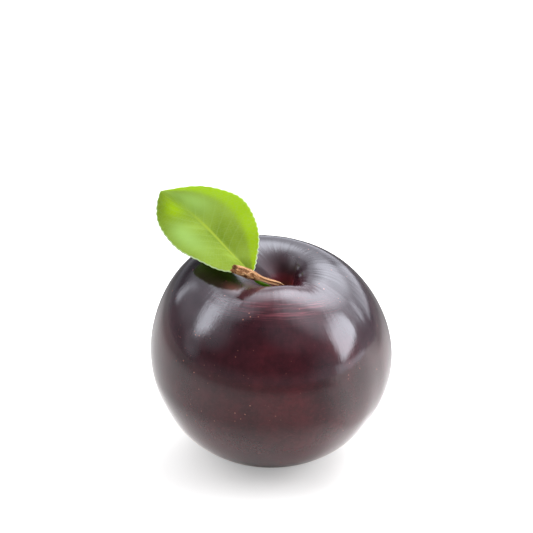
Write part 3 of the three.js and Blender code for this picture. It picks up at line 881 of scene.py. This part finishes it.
def make_floor():
    """A plain white floor to the camera. Seen in the fruit, and in the light it throws back, its colour is
    painted light: darker at the back, brightest on the right, lifted close round the fruit and falling off
    far away.
    """
    material = bpy.data.materials.new("studio_floor")
    n = Nodes(material)
    place = n.add("ShaderNodeTexCoord").outputs["Object"]
    split = n.add("ShaderNodeSeparateXYZ", {0: place})
    turn = n.math("ARCTAN2", split.outputs["X"], n.math("MULTIPLY", split.outputs["Y"], -1.0))
    turn = n.math("MULTIPLY_ADD", turn, 0.5 / math.pi, third=0.5)
    away = n.add("ShaderNodeVectorMath", {0: place}, operation="LENGTH").outputs["Value"]
    around = n.ramp(turn, *((0.5 + azimuth / 360, tone) for azimuth, tone in FLOOR_PAINTED_LIGHT_AROUND))
    kept = n.ramp(turn, *((0.5 + azimuth / 360, share) for azimuth, share in FLOOR_KEPT_FAR))
    near = n.fade(away, NEAR_PAINTED_LIGHT[0], NEAR_PAINTED_LIGHT[1], NEAR_PAINTED_LIGHT[2], 1.0)
    near = n.math("MAXIMUM", n.math("SUBTRACT", near, kept), 1.0)
    fall = n.fade(away, FLOOR_PAINTED_FALLOFF[0], FLOOR_PAINTED_FALLOFF[1], 1.0, FLOOR_PAINTED_FALLOFF[2])
    tone = n.math("MULTIPLY", n.math("MULTIPLY", around, near), n.math("MAXIMUM", fall, kept))
    seen = n.add("ShaderNodeLightPath").outputs["Is Camera Ray"]
    grain = n.ramp(n.noise(place, 40.0, 3.0), *FLOOR_GRAIN)
    tone = n.math("MULTIPLY", n.mix(seen, tone, FLOOR_SEEN), grain)
    n.put(n.shader.inputs["Base Color"], n.mix(1.0, tone, FLOOR_TINT, "MULTIPLY"))
    n.shader.inputs["Roughness"].default_value = FLOOR_ROUGHNESS
    n.shader.inputs["Specular IOR Level"].default_value = FLOOR_SPECULAR
    n.shader.inputs["Emission Color"].default_value = WHITE
    n.put(n.shader.inputs["Emission Strength"], n.math("MULTIPLY", seen, FLOOR_LIFT))
    half = FLOOR_SIDE / 2 / MM
    corners = np.array([(-half, -half, 0), (half, -half, 0), (half, half, 0), (-half, half, 0)], float)
    floor = mesh_object("floor", corners, [(0, 1, 2, 3)], material, smooth_faces=False)


def from_angles(azimuth, elevation):
    """A direction from the fruit: azimuth 0 is towards the camera, positive to the right."""
    a, e = math.radians(azimuth), math.radians(elevation)
    return Vector((math.sin(a) * math.cos(e), -math.cos(a) * math.cos(e), math.sin(e)))


# Softboxes: strength, and corners as azimuth, elevation and how soft the edge is that starts there
SHARP = 0.03
PANELS = {
    "right": (10.4, ((73, 6, 0.05), (113, 17, 0.18), (120, 37, 0.32), (87, 38, SHARP),
                     (76.5, 28, SHARP), (73.5, 14, SHARP))),
    "right_low": (3.3, ((64, -4, 0.12), (106, -4, 0.12), (106, 2, 0.08), (64, 7, 0.08))),
    "right_back": (2.8, ((122, 6, 0.08), (160, 1.5, 0.08), (158, 36, SHARP), (122, 36, SHARP))),
    "left": (9.0, ((-82, 18, 0.22), (-70, 32, 0.06), (-73, 45, 0.06), (-88, 61.5, 0.05), (-111, 59, 0.04))),
    "left_over": (8.2, ((-111, 59, 0.05), (-88, 61.5, 0.05), (-143, 67, 0.12), (-156, 61, 0.05))),
    "left_streak": (3.4, ((-122, 9, 0.08), (-122, 42, 0.1), (-130, 42, 0.08), (-130, 9, 0.12))),
}
# Wide soft glows: direction, reach in degrees where it is full and where it ends, and strength
GLOWS = (
    ((150, 47), (8, 30), 4.6),
    ((175, 45), (10, 30), 0.9),
    ((112, 50), (15, 45), 2.4),
    ((180, 65), (15, 50), 0.4),
    ((-108, 45), (12, 42), 1.2),
    ((-92, 64), (5, 20), 0.9),
    ((-175, 54), (5, 24), 1.7),
    ((-82, 12), (3, 14), 0.9),
    ((40, 55), (8, 34), 0.45),
    ((-70, 36), (2, 26), 0.8),
    ((80, -5), (10, 52), 0.7),
    ((178, 8), (8, 26), 1.2),
)
# A faint rise of light towards the horizon in front: how high it reaches, and strength
HORIZON_REACH = 14
HORIZON_STRENGTH = 0.3
BASE_LIGHT = 0.15
LIGHT_COLOUR = (0.96, 0.99, 1.10, 1.0)


def make_world():
    """Light from the panels and glows round the fruit. The camera sees plain white."""
    world = bpy.data.worlds.new("studio")
    bpy.context.scene.world = world
    n = Nodes(world)
    way = n.add("ShaderNodeTexCoord").outputs["Generated"]

    def beyond(normal, nothing, full, strength=1.0):
        """Rises from 0 to the strength as the direction turns towards the normal."""
        dot = n.add("ShaderNodeVectorMath", {0: way, 1: normal}, operation="DOT_PRODUCT")
        return n.fade(dot.outputs["Value"], nothing, full, 0.0, strength)

    light = beyond((0, 0, -1), -math.sin(math.radians(HORIZON_REACH)), 0.0, HORIZON_STRENGTH)
    light = n.math("ADD", light, BASE_LIGHT)
    for centre, (full, ends), strength in GLOWS:
        nothing, all_of_it = math.cos(math.radians(ends)), math.cos(math.radians(full))
        glow = beyond(from_angles(*centre), nothing, all_of_it, strength)
        light = n.math("ADD", glow, light)
    for strength, corners in PANELS.values():
        ways = [from_angles(azimuth, elevation) for azimuth, elevation, _ in corners]
        middle = sum(ways, Vector()).normalized()
        inside = None
        for way_from, way_to, (_, _, softness) in zip(ways, ways[1:] + ways[:1], corners):
            normal = way_from.cross(way_to).normalized()
            if normal.dot(middle) < 0:
                normal = -normal
            edge = beyond(normal, -softness / 2, softness / 2)
            inside = edge if inside is None else n.math("MULTIPLY", inside, edge)
        light = n.math("MAXIMUM", light, n.math("MULTIPLY", inside, strength))

    background = n.tree.nodes["Background"]
    n.put(background.inputs["Color"], LIGHT_COLOUR)
    n.put(background.inputs["Strength"], light)
    white = n.add("ShaderNodeBackground", {"Color": WHITE})
    seen = n.add("ShaderNodeLightPath").outputs["Is Camera Ray"]
    both = n.add("ShaderNodeMixShader", {0: seen, 1: background.outputs[0], 2: white.outputs[0]})
    n.put(n.tree.nodes["World Output"].inputs["Surface"], both.outputs[0])


SENSOR_WIDTH = 36.0
NEAREST_SEEN = 0.01


def make_camera():
    data = bpy.data.cameras.new("camera")
    data.sensor_width = SENSOR_WIDTH
    data.lens = data.sensor_width * FOCAL_PIXELS / IMAGE_SIDE
    data.clip_start = NEAREST_SEEN
    camera = bpy.data.objects.new("camera", data)
    tilt = math.radians(VIEW_ELEVATION)
    centre = Vector((0, 0, FRUIT_CENTRE_HEIGHT))
    eye = centre + Vector((0, -math.cos(tilt), math.sin(tilt))) * VIEW_DISTANCE
    middle = IMAGE_SIDE / 2
    right = (middle - FRUIT_CENTRE_PIXEL[0]) / FOCAL_PIXELS * VIEW_DISTANCE
    up = (FRUIT_CENTRE_PIXEL[1] - middle) / FOCAL_PIXELS * VIEW_DISTANCE
    aim = centre + Vector((right, 0, 0)) + Vector((0, math.sin(tilt), math.cos(tilt))) * up
    turn = (eye - aim).to_track_quat("Z", "Y").to_matrix().to_4x4()
    camera.matrix_world = Matrix.Translation(eye * MM) @ turn
    bpy.context.scene.collection.objects.link(camera)
    bpy.context.scene.camera = camera


bpy.context.scene.view_settings.view_transform = "Standard"
make_camera()
make_world()
make_floor()
make_fruit()
make_stalk()
make_leaf()
